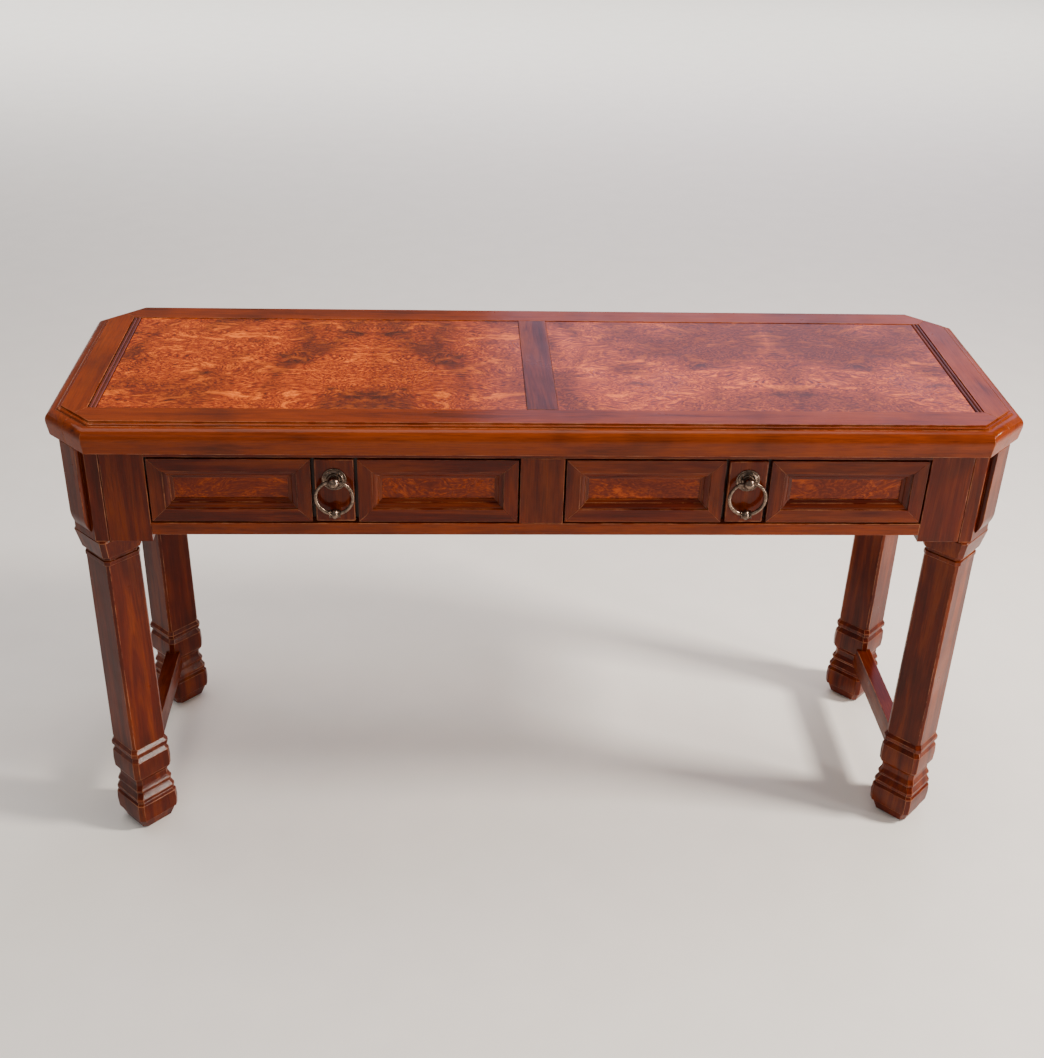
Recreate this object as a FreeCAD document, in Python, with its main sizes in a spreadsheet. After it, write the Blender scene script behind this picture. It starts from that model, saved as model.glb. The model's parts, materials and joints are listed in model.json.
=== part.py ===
import FreeCAD, Part
import os

import Sketcher
from FreeCAD import Placement, Rotation, Vector

# A console table with two drawers, in millimetres. The origin is on the floor under the middle
# of the top, +Z is up, the drawers open toward -Y and the long side lies along X.

DIMS = {
    # overall
    "top_width": 1372, "top_depth": 457, "table_height": 735, "corner_clip": 61,
    # top: moulded boards round two veneered panels
    "fascia_height": 41, "board_thickness": 22, "edge_band": 46, "fascia_undercut": 3,
    "border_depth": 64.5, "border_end": 59, "panel_sink": 1, "panel_thickness": 12,
    "lip_width": 12, "divider_width": 43.2, "strip_width": 12, "strip_shoulder": 2, "joint_gap": 0.4,
    "edge_flat": 22, "quirk": 3, "quirk_width": 1.5, "bead_width": 5, "bead_drop": 2.5, "roll_radius": 13,
    # legs: square posts turned to stand on their corners
    "leg_inset": 66, "block_half": 55, "block_cut": 9, "block_drop": 11,
    "pilaster_width": 37, "pilaster_thickness": 8.5, "pilaster_rise": 11, "pilaster_curl": 27,
    "pilaster_round": 45,
    # case
    "rail_thickness": 20, "opening_drop": 54, "opening_height": 104, "bottom_rail": 19,
    "post_width": 62, "stile_width": 62, "groove": 1,
    "runner_height": 16, "runner_shelf": 30, "guide_height": 22, "guide_gap": 1, "kicker_width": 64,
    # stretchers between the feet
    "stretcher_width": 24, "stretcher_height": 40, "stretcher_top": 120,
    "tenon_width": 10, "tenon_height": 24, "tenon_length": 18, "tenon_gap": 0.1,
    # drawers
    "front_gap": 2.7, "front_board": 16, "moulding_depth": 10, "pad_width": 55, "channel": 5,
    "frame_width": 33, "frame_flat": 20, "frame_round": 9, "room_behind": 41, "side_thickness": 12,
    "side_gap": 4.5, "side_drop": 10, "slide_gap": 0.5, "drawer_bottom": 6, "bottom_rise": 8,
    "slot_depth": 5, "slot_gap": 0.2,
    # ring pulls
    "pull_drop": 30.3, "plate_radius": 17, "plate_depth": 3, "knob_radius": 8.75, "knob_stand": 2.25,
    "neck_radius": 4.2, "stem_radius": 3, "stem_tail": 2, "stem_gap": 0.2,
    "ring_radius": 25.65, "wire_radius": 2.85, "pin_radius": 2.6, "pin_gap": 0.08, "pin_overrun": 1.5,
    "barrel_radius": 8, "barrel_length": 9, "barrel_round": 10, "collar_radius": 6, "collar_length": 3,
    "nut_radius": 5.8, "nut_height": 5,
    # fixings
    "glide_height": 3, "glide_radius": 14, "nail_radius": 1.5, "nail_length": 16,
    "screw_radius": 2, "screw_length": 30, "screw_head": 4, "screw_head_depth": 3, "screw_gap": 0.2,
    "screw_spread": 120, "glue_block": 15,
}

# The square posts' mouldings, as half diagonals: up from the floor for the foot, and down from
# the block for the capital.
FOOT = (
    ("sole", 3, 39.5), ("toe", 20, 47), ("ledge", 21.5, 50), ("bulb", 39, 51.5), ("bulb_top", 53, 50.5),
    ("bulb_slope", 56.5, 46.5), ("undercut", 58.5, 45.5), ("ankle", 60, 49), ("ankle_top", 65, 49),
    ("ankle_slope", 74, 43), ("waist_quirk", 76, 42.5), ("bead", 78, 46), ("bead_top", 81, 46),
    ("bead_slope", 88, 41.5), ("waist", 90, 41), ("waist_top", 98, 41), ("band", 106, 47.5),
    ("band_middle", 122, 48.5), ("band_top", 138, 47.5), ("band_slope", 145, 42.5), ("quirk", 147.5, 42),
    ("collar", 149.5, 47.5), ("collar_top", 155.5, 47.5), ("collar_slope", 162, 43), ("flare", 166, 42.5),
)
CAPITAL = (
    ("shaft_end", 47, 40.5), ("bead", 46, 43), ("bead_top", 40, 43), ("neck", 39, 40),
    ("neck_top", 33, 40), ("capital_foot", 32, 46), ("capital_rim", 3, 54), ("rim_quirk", 1.5, 52),
)
for part_of_leg, levels in (("foot", FOOT), ("capital", CAPITAL)):
    for level_name, level, half_diagonal in levels:
        DIMS[f"{part_of_leg}_{level_name}_level"] = level
        DIMS[f"{part_of_leg}_{level_name}_half"] = half_diagonal
DIMS["moulding_cut"] = 4.5
DIMS["shaft_cut"] = 2.5

doc = FreeCAD.newDocument("console_table")
sheet = doc.addObject("Spreadsheet::Sheet", "Dims")
for row, (alias, number) in enumerate(DIMS.items(), start=1):
    sheet.set(f"A{row}", alias)
    sheet.set(f"B{row}", str(number))
    sheet.setAlias(f"B{row}", alias)
doc.recompute()


class Size:
    """A length: its present value, and the formula over the sheet that keeps it true."""

    def __init__(self, value, formula):
        self.value = value
        self.formula = formula

    def __add__(self, other):
        other = size(other)
        return Size(self.value + other.value, f"({self.formula} + {other.formula})")

    def __sub__(self, other):
        other = size(other)
        return Size(self.value - other.value, f"({self.formula} - {other.formula})")

    def __mul__(self, factor):
        return Size(self.value * factor, f"({self.formula} * {factor})")

    def __truediv__(self, factor):
        return Size(self.value / factor, f"({self.formula} / {factor})")

    def __neg__(self):
        return self * -1

    __rmul__ = __mul__

    def __radd__(self, other):
        return size(other) + self

    def __rsub__(self, other):
        return size(other) - self


def size(thing):
    """A driving dimension by its name, or a plain number, as a Size."""
    if isinstance(thing, Size):
        return thing
    if isinstance(thing, str):
        return Size(float(DIMS[thing]), f"Dims.{thing}")
    return Size(float(thing), f"{float(thing)}")


def root_of_difference(long_side, short_side):
    """The other leg of a right triangle."""
    a, b = size(long_side), size(short_side)
    value = (a.value ** 2 - b.value ** 2) ** 0.5
    return Size(value, f"sqrt({a.formula} ^ 2 - {b.formula} ^ 2)")


DIAGONAL = 2 ** 0.5
BEAD_ROUND = 0.62

# Overall planes and levels
half_width = size("top_width") / 2
half_depth = size("top_depth") / 2
top = size("table_height")
under_top = top - "fascia_height"
under_boards = top - "board_thickness"
panel_bed = top - "panel_sink" - "panel_thickness"
bay_x = half_width - "border_end"
bay_y = half_depth - "border_depth"
lip_x = bay_x - "lip_width"
lip_y = bay_y - "lip_width"

# The legs' blocks carry the case, whose faces are flush with the blocks' own flats.
leg_x = half_width - "leg_inset"
leg_y = half_depth - "leg_inset"
facet = size("block_half") - "block_cut"
front = leg_y + facet
flank = leg_x + facet
rail_back = front - "rail_thickness"
flank_back = flank - "rail_thickness"
stile_outer = leg_x - "block_cut"
stile_inner = stile_outer - "stile_width"
apron_end = leg_y - "block_cut"
leg_inner = leg_x - facet

post_half = size("post_width") / 2
open_top = top - "opening_drop"
open_bottom = open_top - "opening_height"
rail_bottom = open_bottom - "bottom_rail"
block_bottom = rail_bottom - "block_drop"

# Each drawer, about its own middle
drawer_middle = (post_half + stile_inner) / 2
opening_half = (stile_inner - post_half) / 2
front_half = opening_half - "front_gap"
front_bottom = open_bottom + "front_gap"
front_top = open_top - "front_gap"
board_face = front - "moulding_depth"
board_back = board_face - "front_board"
box_half = opening_half - "side_gap"
box_inner = box_half - "side_thickness"
box_end = rail_back - "room_behind"
box_top = front_top - "side_drop"
slot_level = front_bottom + "bottom_rise"
bottom_top = slot_level + "drawer_bottom"
shelf_top = front_bottom - "slide_gap"
shelf_bottom = shelf_top - "runner_height"
guide_top = shelf_top + "guide_height"

# The ring pull, about the middle of its pin
knob_reach = size("knob_radius") + "knob_stand"
pin_y = -(front + knob_reach)
pin_z = front_top - "pull_drop"
chord_half = size("knob_radius") + "pin_overrun"

pieces = []


def keep(thing, label):
    """Names an object as one of the table's pieces."""
    thing.Label = label
    pieces.append(thing)
    return thing


def hold(thing, **formulas):
    """Binds properties to sizes."""
    for name, amount in formulas.items():
        thing.setExpression(name, size(amount).formula)


def place(thing, x, y, z, rotation=None):
    """Puts an object's own origin at a point, turned or not."""
    thing.Placement = Placement(Vector(), rotation or Rotation())
    for axis, amount in zip("xyz", (x, y, z)):
        thing.setExpression(f"Placement.Base.{axis}", size(amount).formula)


def block(name, x, y, z):
    """A box between two planes each way."""
    box = doc.addObject("Part::Box", name)
    hold(box, Length=size(x[1]) - x[0], Width=size(y[1]) - y[0], Height=size(z[1]) - z[0])
    place(box, x[0], y[0], z[0])
    return box


UP = Rotation()
ALONG_X = Rotation(Vector(0, 1, 0), 90)
TOWARD_FRONT = Rotation(Vector(1, 0, 0), 90)


def rod(name, radius, length, x, y, z, rotation=UP):
    """A cylinder that starts at a point."""
    cylinder = doc.addObject("Part::Cylinder", name)
    hold(cylinder, Radius=radius, Height=length)
    place(cylinder, x, y, z, rotation)
    return cylinder


def ball(name, radius, x, y, z):
    sphere = doc.addObject("Part::Sphere", name)
    hold(sphere, Radius=radius)
    place(sphere, x, y, z)
    return sphere


def cut(name, base, *tools):
    """The base with every tool taken out of it, one after the other."""
    for number, tool in enumerate(tools):
        result = doc.addObject("Part::Cut", f"{name}_{number}")
        result.Base = base
        result.Tool = tool
        base = result
    return base


def fuse(name, *shapes):
    result = doc.addObject("Part::MultiFuse", name)
    result.Shapes = list(shapes)
    result.Refine = True
    return result


def common(name, *shapes):
    result = doc.addObject("Part::MultiCommon", name)
    result.Shapes = list(shapes)
    return result


def group(name, *shapes):
    result = doc.addObject("Part::Compound", name)
    result.Links = list(shapes)
    return result


def arc_edge(start, end, radius, turn):
    """The short arc between two points; turn is 1 when its centre is on the left of the way."""
    chord = end - start
    middle = start + chord * 0.5
    left = Vector(-chord.y, chord.x, 0).normalize() * turn
    rise = (radius ** 2 - (chord.Length / 2) ** 2) ** 0.5
    return Part.Arc(start, middle - left * (radius - rise), end)


def draw(sketch, points):
    """Draws a closed outline, every corner held to its formulas.

    A point is (x, y), or (x, y, radius, turn) where an arc of that radius leads on to the next.
    """
    corners = [Vector(size(p[0]).value, size(p[1]).value, 0) for p in points]
    edges = []
    for number, point in enumerate(points):
        start, end = corners[number], corners[(number + 1) % len(points)]
        if len(point) == 2:
            edges.append(Part.LineSegment(start, end))
        else:
            edges.append(arc_edge(start, end, size(point[2]).value, point[3]))
    sketch.addGeometry(edges, False)
    # An arc runs anticlockwise, so one drawn clockwise has its two ends exchanged.
    first, last = [], []
    for number, point in enumerate(points):
        clockwise = len(point) == 4 and point[3] < 0
        first.append(2 if clockwise else 1)
        last.append(1 if clockwise else 2)
    rules, formulas = [], []
    for number, point in enumerate(points):
        following = (number + 1) % len(points)
        rules.append(Sketcher.Constraint("Coincident", number, last[number], following, first[following]))
    for number, point in enumerate(points):
        for kind, amount in (("DistanceX", point[0]), ("DistanceY", point[1])):
            formulas.append((len(rules), f"{kind}{number}", size(amount)))
            rules.append(Sketcher.Constraint(kind, -1, 1, number, first[number], size(amount).value))
        if len(point) == 4:
            formulas.append((len(rules), f"Radius{number}", size(point[2])))
            rules.append(Sketcher.Constraint("Radius", number, size(point[2]).value))
    sketch.addConstraint(rules)
    for place_in_list, name, amount in formulas:
        sketch.renameConstraint(place_in_list, name)
        sketch.setExpression(f"Constraints.{name}", amount.formula)


def padded(name, plane, points, low, high):
    """A body padded from an outline in a plane, between two distances along the plane's axis."""
    body = doc.addObject("PartDesign::Body", name)
    sketch = body.newObject("Sketcher::SketchObject", f"{name}_outline")
    planes = {feature.Role: feature for feature in body.Origin.OriginFeatures}
    sketch.AttachmentSupport = [(planes[f"{plane}_Plane"], "")]
    sketch.MapMode = "FlatFace"
    # The XZ plane faces -Y, so its outlines start at the far side.
    start = -size(high) if plane == "XZ" else size(low)
    sketch.setExpression("AttachmentOffset.Base.z", start.formula)
    draw(sketch, points)
    pad = body.newObject("PartDesign::Pad", f"{name}_pad")
    pad.Profile = sketch
    hold(pad, Length=size(high) - low)
    sketch.Visibility = False
    return body


def upright(name, points, reach, x, y, angle):
    """An upright outline on a vertical axis, turned by an angle and extruded both ways."""
    sketch = doc.addObject("Sketcher::SketchObject", f"{name}_outline")
    draw(sketch, points)
    place(sketch, x, y, 0, Rotation(Vector(0, 0, 1), angle) * Rotation(Vector(1, 0, 0), 90))
    solid = doc.addObject("Part::Extrusion", name)
    solid.Base = sketch
    solid.DirMode = "Normal"
    solid.Solid = True
    solid.Symmetric = True
    hold(solid, LengthFwd=size(reach) * 2)
    return solid


def both_sides(half):
    """A half outline from the bottom up, right of the axis, joined to its reflection."""
    back = []
    for number in range(len(half) - 1, -1, -1):
        # Going back down, an arc starts from its upper end.
        arc = tuple(half[number - 1][2:]) if number else ()
        back.append((-size(half[number][0]), half[number][1]) + arc)
    return half + back


# ---- top ----

def edge_section(reach):
    """The top's section between two opposite edges.

    From the flat top a small quirk drops to a bead, then a round roll falls to the widest line,
    and the fascia below draws back a little.
    """
    bead_start = reach - "edge_flat" + "quirk_width"
    bead_end = bead_start + "bead_width"
    bead_level = top - "quirk"
    roll_level = bead_level - "bead_drop"
    roll_foot = roll_level - "roll_radius"
    return both_sides([
        (reach - "fascia_undercut", under_top),
        (reach, roll_foot - "quirk"),
        (reach, roll_foot, "roll_radius", 1),
        (reach - "roll_radius", roll_level),
        (bead_end, roll_level, size("bead_width") * BEAD_ROUND, 1),
        (bead_start, bead_level),
        (reach - "edge_flat", bead_level),
        (reach - "edge_flat", top),
    ])


def panel_bay(name, depth_in, bottom_level, top_level):
    """The rectangle inside the boards, drawn in by a distance, between two levels."""
    x = half_width - "border_end" - depth_in
    y = half_depth - "border_depth" - depth_in
    return block(name, (-x, x), (-y, y), (bottom_level, top_level))


def moulded_slab():
    """The whole top as one moulded frame, from which its four boards are parted."""
    corner_reach = (half_width + half_depth - "corner_clip") / DIAGONAL
    reaches = {0: half_width, 90: half_depth, 45: corner_reach, 135: corner_reach}
    sections = [
        upright(f"edge_{angle}", edge_section(reach), half_width * 1.2, 0, 0, angle)
        for angle, reach in reaches.items()
    ]
    slab = common("slab", *sections)
    relief_x = half_width - "edge_band"
    relief_y = half_depth - "edge_band"
    relief = block("relief", (-relief_x, relief_x), (-relief_y, relief_y), (under_top, under_boards))
    bay = panel_bay("panel_bay", 0, panel_bed, top)
    opening = panel_bay("lip_opening", "lip_width", under_boards, panel_bed)
    return cut("frame", slab, relief, bay, opening)


def joint_corner(reach):
    """A corner of a board's plan: along the joint from the panel's corner out through the clip."""
    joint_x = half_width - size("corner_clip") / 2
    joint_y = half_depth - size("corner_clip") / 2
    return {
        "lip": (lip_x, lip_y),
        "bay": (bay_x, bay_y),
        "clip": (joint_x, joint_y),
        "beyond": (joint_x + "corner_clip", joint_y + "corner_clip"),
    }[reach]


def board_plan(x_sides, y_sides):
    """A board's plan between two corners, each given by the signs of its x and y."""
    steps = ("beyond", "clip", "bay", "lip")
    there = [(x_sides[0] * joint_corner(step)[0], y_sides[0] * joint_corner(step)[1]) for step in steps]
    back = [(x_sides[1] * joint_corner(step)[0], y_sides[1] * joint_corner(step)[1]) for step in steps[::-1]]
    return there + back


def screw_places():
    """Where the top's screws stand: four in the front rail and two in the middle kicker."""
    rail_y = -(front + rail_back) / 2
    spread = size("screw_spread")
    along_rail = [side * (drawer_middle + step * spread) for side in (-1, 1) for step in (-1, 1)]
    in_rail = [(x, rail_y, open_top) for x in along_rail]
    in_kicker = [(0, step * spread, under_top) for step in (-1, 1)]
    return in_rail, in_kicker


def screw_holes(name, places, radius):
    """Plain holes for the screws' shanks, a little longer than the screws."""
    return [
        rod(f"{name}_{number}", radius, size("screw_length") + 0.5, x, y, z)
        for number, (x, y, z) in enumerate(places)
    ]


def head_pockets(name, places):
    """Pockets for the screws' heads, from the wood's underside up."""
    radius = size("screw_head") + "screw_gap"
    pockets = []
    for number, (x, y, z) in enumerate(places):
        depth = z - open_top + "screw_head_depth" + 1
        pockets.append(rod(f"{name}_{number}", radius, depth, x, y, open_top - 1))
    return pockets


def make_top():
    frame = moulded_slab()
    in_rail, in_kicker = screw_places()
    plans = {
        "top_front_board": board_plan((1, -1), (-1, -1)),
        "top_back_board": board_plan((-1, 1), (1, 1)),
        "top_left_board": board_plan((-1, -1), (-1, 1)),
        "top_right_board": board_plan((1, 1), (1, -1)),
    }
    for name, plan in plans.items():
        board = common(f"{name}_parted", frame, padded(f"{name}_plan", "XY", plan, under_top, top))
        if name == "top_front_board":
            board = cut(f"{name}_drilled", board, *screw_holes("board_hole", in_rail, "screw_radius"))
        keep(board, name)

    divider_half = size("divider_width") / 2
    flange_half = divider_half + "lip_width"
    bar_y = bay_y - "joint_gap"
    flange_y = lip_y - "joint_gap"
    bar = block("divider_bar", (-divider_half, divider_half), (-bar_y, bar_y), (panel_bed, top))
    flange_x = (-flange_half, flange_half)
    flange = block("divider_flange", flange_x, (-flange_y, flange_y), (under_boards, panel_bed))
    divider = fuse("divider", bar, flange)
    drilled = cut("divider_drilled", divider, *screw_holes("divider_hole", in_kicker, "screw_radius"))
    keep(drilled, "top_divider")

    panel_inner = divider_half + "joint_gap"
    panel_outer = bay_x - "strip_width" - "joint_gap"
    strip_half = size("strip_width") / 2 - "joint_gap"
    strip_x = bay_x - size("strip_width") / 2
    shoulder = top - "strip_shoulder"
    bead = strip_half / 2 + size("joint_gap") / 2
    for side, sign in (("left", -1), ("right", 1)):
        x = sorted((sign * panel_inner, sign * panel_outer), key=lambda amount: amount.value)
        name = f"burl_panel_{side}"
        keep(block(name, x, (-bar_y, bar_y), (panel_bed, top - "panel_sink")), name)
        name = f"reeded_strip_{side}"
        middle = sign * strip_x
        outline = [
            (middle - strip_half, panel_bed), (middle + strip_half, panel_bed),
            (middle + strip_half, shoulder, bead, 1), (middle, shoulder, bead, 1),
            (middle - strip_half, shoulder),
        ]
        keep(padded(name, "XZ", outline, -bar_y, bar_y), name)


# ---- legs ----

def leg_outlines():
    """The post's outline across its flat faces and across its cut corners."""
    faces, corners = [], []
    levels = [("foot", name, size(f"foot_{name}_level")) for name, _, _ in FOOT]
    levels += [("capital", name, block_bottom - f"capital_{name}_level") for name, _, _ in CAPITAL]
    for part_of_leg, name, level in levels:
        half = size(f"{part_of_leg}_{name}_half")
        on_shaft = name in ("flare", "shaft_end")
        faces.append((half / DIAGONAL, level))
        corners.append((half - ("shaft_cut" if on_shaft else "moulding_cut"), level))
    for level in (block_bottom, under_top):
        faces.append((size("block_half") / DIAGONAL, level))
        corners.append((facet, level))
    return both_sides(faces), both_sides(corners)


CORNERS = {
    "front_left": (-1, -1, 225), "front_right": (1, -1, 315),
    "back_right": (1, 1, 45), "back_left": (-1, 1, 135),
}


def leg_stock():
    """The front left post, moulded all round, before its joints are cut."""
    faces, corners = leg_outlines()
    cuts = []
    for angle, outline in ((45, faces), (135, faces), (0, corners), (90, corners)):
        cuts.append(upright(f"post_{angle}", outline, size("block_half") * 1.2, -leg_x, -leg_y, angle))
    return common("post", *cuts)


def reflected(name, source, normal):
    """A mirror image across one of the table's two middle planes."""
    image = doc.addObject("Part::Mirroring", name)
    image.Source = source
    image.Normal = normal
    return image


def at_all_corners(name, front_left):
    """The four copies of a front left solid, by corner."""
    front_right = reflected(f"{name}_front_right", front_left, Vector(1, 0, 0))
    return {
        "front_left": front_left, "front_right": front_right,
        "back_left": reflected(f"{name}_back_left", front_left, Vector(0, 1, 0)),
        "back_right": reflected(f"{name}_back_right", front_right, Vector(0, 1, 0)),
    }


def tenon(name, sign_x, sign_y, gap):
    """The stretcher's tenon, or with a gap its mortise, in one leg."""
    half = size("tenon_width") / 2 + gap
    middle = size("stretcher_top") - size("stretcher_height") / 2
    rise = size("tenon_height") / 2 + gap
    root = leg_y - "foot_band_middle_half" - 3
    tip = leg_y - "foot_band_middle_half" + "moulding_cut" + "tenon_length" + gap
    y = (root, tip) if sign_y > 0 else (-tip, -root)
    x = sign_x * leg_x
    return block(name, (x - half, x + half), y, (middle - rise, middle + rise))


def make_legs_and_stretchers():
    stock = leg_stock()
    mortise = tenon("mortise", -1, -1, size("tenon_gap"))
    nail = rod("nail_hole", "nail_radius", size("nail_length") + 1, -leg_x, -leg_y, size("glide_height") - 1)
    for corner, leg in at_all_corners("jointed", cut("jointed_post", stock, mortise, nail)).items():
        keep(leg, f"leg_{corner}")
    stocks = at_all_corners("plain", stock)
    half = size("stretcher_width") / 2
    reach = leg_y - half * 1.5
    z = (size("stretcher_top") - "stretcher_height", "stretcher_top")
    for side, sign in (("left", -1), ("right", 1)):
        x = sign * leg_x
        bar = block(f"{side}_bar", (x - half, x + half), (-reach, reach), z)
        coped = cut(f"{side}_coped", bar, stocks[f"front_{side}"], stocks[f"back_{side}"])
        tenons = [tenon(f"{side}_tenon_{step}", sign, step, size(0)) for step in (-1, 1)]
        keep(fuse(f"{side}_stretcher", coped, *tenons), f"side_stretcher_{side}")


def make_pilasters():
    """The applied strips down the outer faces of the blocks, curling in at the bottom."""
    face = size("block_half") / DIAGONAL
    proud = face + "pilaster_thickness"
    tip = block_bottom + "pilaster_rise"
    outline = [
        (face, tip, "pilaster_round", 1), (proud, tip + "pilaster_curl"),
        (proud, under_top), (face, under_top),
    ]
    for corner, (sign_x, sign_y, angle) in CORNERS.items():
        half = size("pilaster_width") / 2
        name = f"pilaster_{corner}"
        keep(upright(name, outline, half, sign_x * leg_x, sign_y * leg_y, angle), name)


# ---- case ----

def make_rails():
    in_rail, _ = screw_places()
    span = (-stile_inner, stile_inner)
    thickness = (-front, -rail_back)
    rail = block("top_rail", span, thickness, (open_top, under_top))
    holes = screw_holes("rail_hole", in_rail, size("screw_radius") + "screw_gap")
    keep(cut("top_rail_drilled", rail, *holes, *head_pockets("rail_pocket", in_rail)), "front_top_rail")
    keep(block("bottom_rail", span, thickness, (rail_bottom, open_bottom)), "front_bottom_rail")
    keep(block("post", (-post_half, post_half), thickness, (open_bottom, open_top)), "centre_stile")


def make_stiles_and_aprons():
    """The upright boards beside the blocks, mitred against the posts' turned faces."""
    groove = size("groove")
    thickness = size("rail_thickness")
    for side, sign in (("left", -1), ("right", 1)):
        plan = [
            (sign * (stile_outer - groove * 2), -front), (sign * stile_inner, -front),
            (sign * stile_inner, -rail_back), (sign * (stile_outer - thickness), -rail_back),
            (sign * (stile_outer - groove), -(front - groove)),
        ]
        name = f"front_stile_{side}"
        keep(padded(name, "XY", plan, block_bottom, under_top), name)
        inner_end = apron_end - thickness
        plan = [
            (sign * flank, -apron_end), (sign * flank, apron_end),
            (sign * flank_back, inner_end), (sign * flank_back, -inner_end),
        ]
        name = f"side_apron_{side}"
        keep(padded(name, "XY", plan, rail_bottom, under_top), name)
    inner_end = stile_outer - thickness
    plan = [(-stile_outer, front), (stile_outer, front), (inner_end, rail_back), (-inner_end, rail_back)]
    keep(padded("back_apron", "XY", plan, rail_bottom, under_top), "back_apron")


def make_runners():
    """The rails that the drawers slide on, each with a guide beside the drawer."""
    guide_inner = post_half + "side_gap" - "guide_gap"
    shelf_inner = post_half + "side_gap" + "runner_shelf"
    guide_outer = stile_inner - "side_gap" + "guide_gap"
    shelf_outer = stile_inner - "side_gap" - "runner_shelf"
    outlines = {"centre_runner": both_sides([
        (shelf_inner, shelf_bottom), (shelf_inner, shelf_top),
        (guide_inner, shelf_top), (guide_inner, guide_top),
    ])}
    for side, sign in (("left", -1), ("right", 1)):
        outlines[f"side_runner_{side}"] = [
            (sign * shelf_outer, shelf_bottom),
            (sign * leg_inner, shelf_bottom), (sign * leg_inner, guide_top),
            (sign * guide_outer, guide_top), (sign * guide_outer, shelf_top), (sign * shelf_outer, shelf_top),
        ]
    for name, outline in outlines.items():
        runner = padded(f"{name}_length", "XZ", outline, -rail_back, rail_back)
        # The guides stand clear of the back of the drawer's front.
        room_y = (-front, -(board_back - "guide_gap"))
        room = block(f"{name}_room", (-flank, flank), room_y, (shelf_top, open_top))
        keep(cut(f"{name}_cleared", runner, room), name)


def make_kicker():
    """The beam under the divider, which keeps open drawers from tipping."""
    _, in_kicker = screw_places()
    step = half_depth - "edge_band"
    outline = [
        (-rail_back, open_top), (rail_back, open_top), (rail_back, under_top), (step, under_top),
        (step, under_boards), (-step, under_boards), (-step, under_top), (-rail_back, under_top),
    ]
    half = size("kicker_width") / 2
    beam = padded("kicker_beam", "YZ", outline, -half, half)
    holes = screw_holes("kicker_hole", in_kicker, size("screw_radius") + "screw_gap")
    keep(cut("kicker_drilled", beam, *holes, *head_pockets("kicker_pocket", in_kicker)), "centre_kicker")


def make_glue_blocks():
    """Three-cornered blocks glued between the posts and the boards beside them."""
    leg = size("glue_block")
    low, high = guide_top + 8, open_top - 4
    blocks = []
    for corner, (sign_x, sign_y, _) in CORNERS.items():
        rail_x = stile_outer - "rail_thickness"
        apron_y = apron_end - "rail_thickness"
        by_rail = [(rail_x, rail_back), (rail_x - leg, rail_back - leg), (rail_x - leg * 2, rail_back)]
        by_apron = [(flank_back, apron_y), (flank_back - leg, apron_y - leg), (flank_back, apron_y - leg * 2)]
        for board, plan in (("rail", by_rail), ("apron", by_apron)):
            plan = [(sign_x * x, sign_y * y) for x, y in plan]
            blocks.append(padded(f"{corner}_{board}_glue_block", "XY", plan, low, high))
    keep(group("glue_blocks", *blocks), "glue_blocks")


# ---- drawers ----

def frame_section():
    """The drawer's moulding in section: (inward from its outer edge, out from the board's face)."""
    width, flat, depth = size("frame_width"), size("frame_flat"), size("moulding_depth")
    foot = width - (width - flat) * 0.38
    return [
        (size(0), size(0)), (width, size(0)), (width, depth * 0.15), (foot, depth * 0.3),
        (foot, depth * 0.42, "frame_round", 1), (flat, depth * 0.75), (flat, depth), (size(0), depth),
    ]


def mitred_frame(name, x, z):
    """Four moulded sticks round a rectangle of the drawer's front, as separate solids."""
    width = size("frame_width")
    low_x, high_x = x
    low_z, high_z = z
    sticks = []
    for side in ("top", "bottom", "left", "right"):
        level = side in ("top", "bottom")
        # These two see the section in a mirror, so their arcs turn the other way.
        flip = -1 if side in ("top", "left") else 1
        section = []
        for point in frame_section():
            across, out = point[0], point[1]
            y = -(board_face + out)
            arc = (point[2], point[3] * flip) if len(point) == 4 else ()
            place_on = {
                "top": (y, high_z - across), "bottom": (y, low_z + across),
                "left": (low_x + across, y), "right": (high_x - across, y),
            }[side]
            section.append(place_on + arc)
        span = (low_x, high_x) if level else (low_z, high_z)
        stick = padded(f"{name}_{side}", "YZ" if level else "XY", section, *span)
        outer, inner = {
            "top": ((low_x, high_z), (high_x, high_z)), "bottom": ((high_x, low_z), (low_x, low_z)),
            "left": ((low_x, low_z), (low_x, high_z)), "right": ((high_x, high_z), (high_x, low_z)),
        }[side]
        toward = {
            "top": (1, -1, -1, -1), "bottom": (-1, 1, 1, 1), "left": (1, 1, 1, -1), "right": (-1, -1, -1, 1),
        }
        a, b, c, d = toward[side]
        mitre = [
            outer, inner,
            (inner[0] + width * c, inner[1] + width * d), (outer[0] + width * a, outer[1] + width * b),
        ]
        wedge = padded(f"{name}_{side}_mitre", "XZ", mitre, -front, -board_face)
        sticks.append(common(f"{name}_{side}_stick", stick, wedge))
    return keep(group(f"{name}_sticks", *sticks), name)


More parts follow.
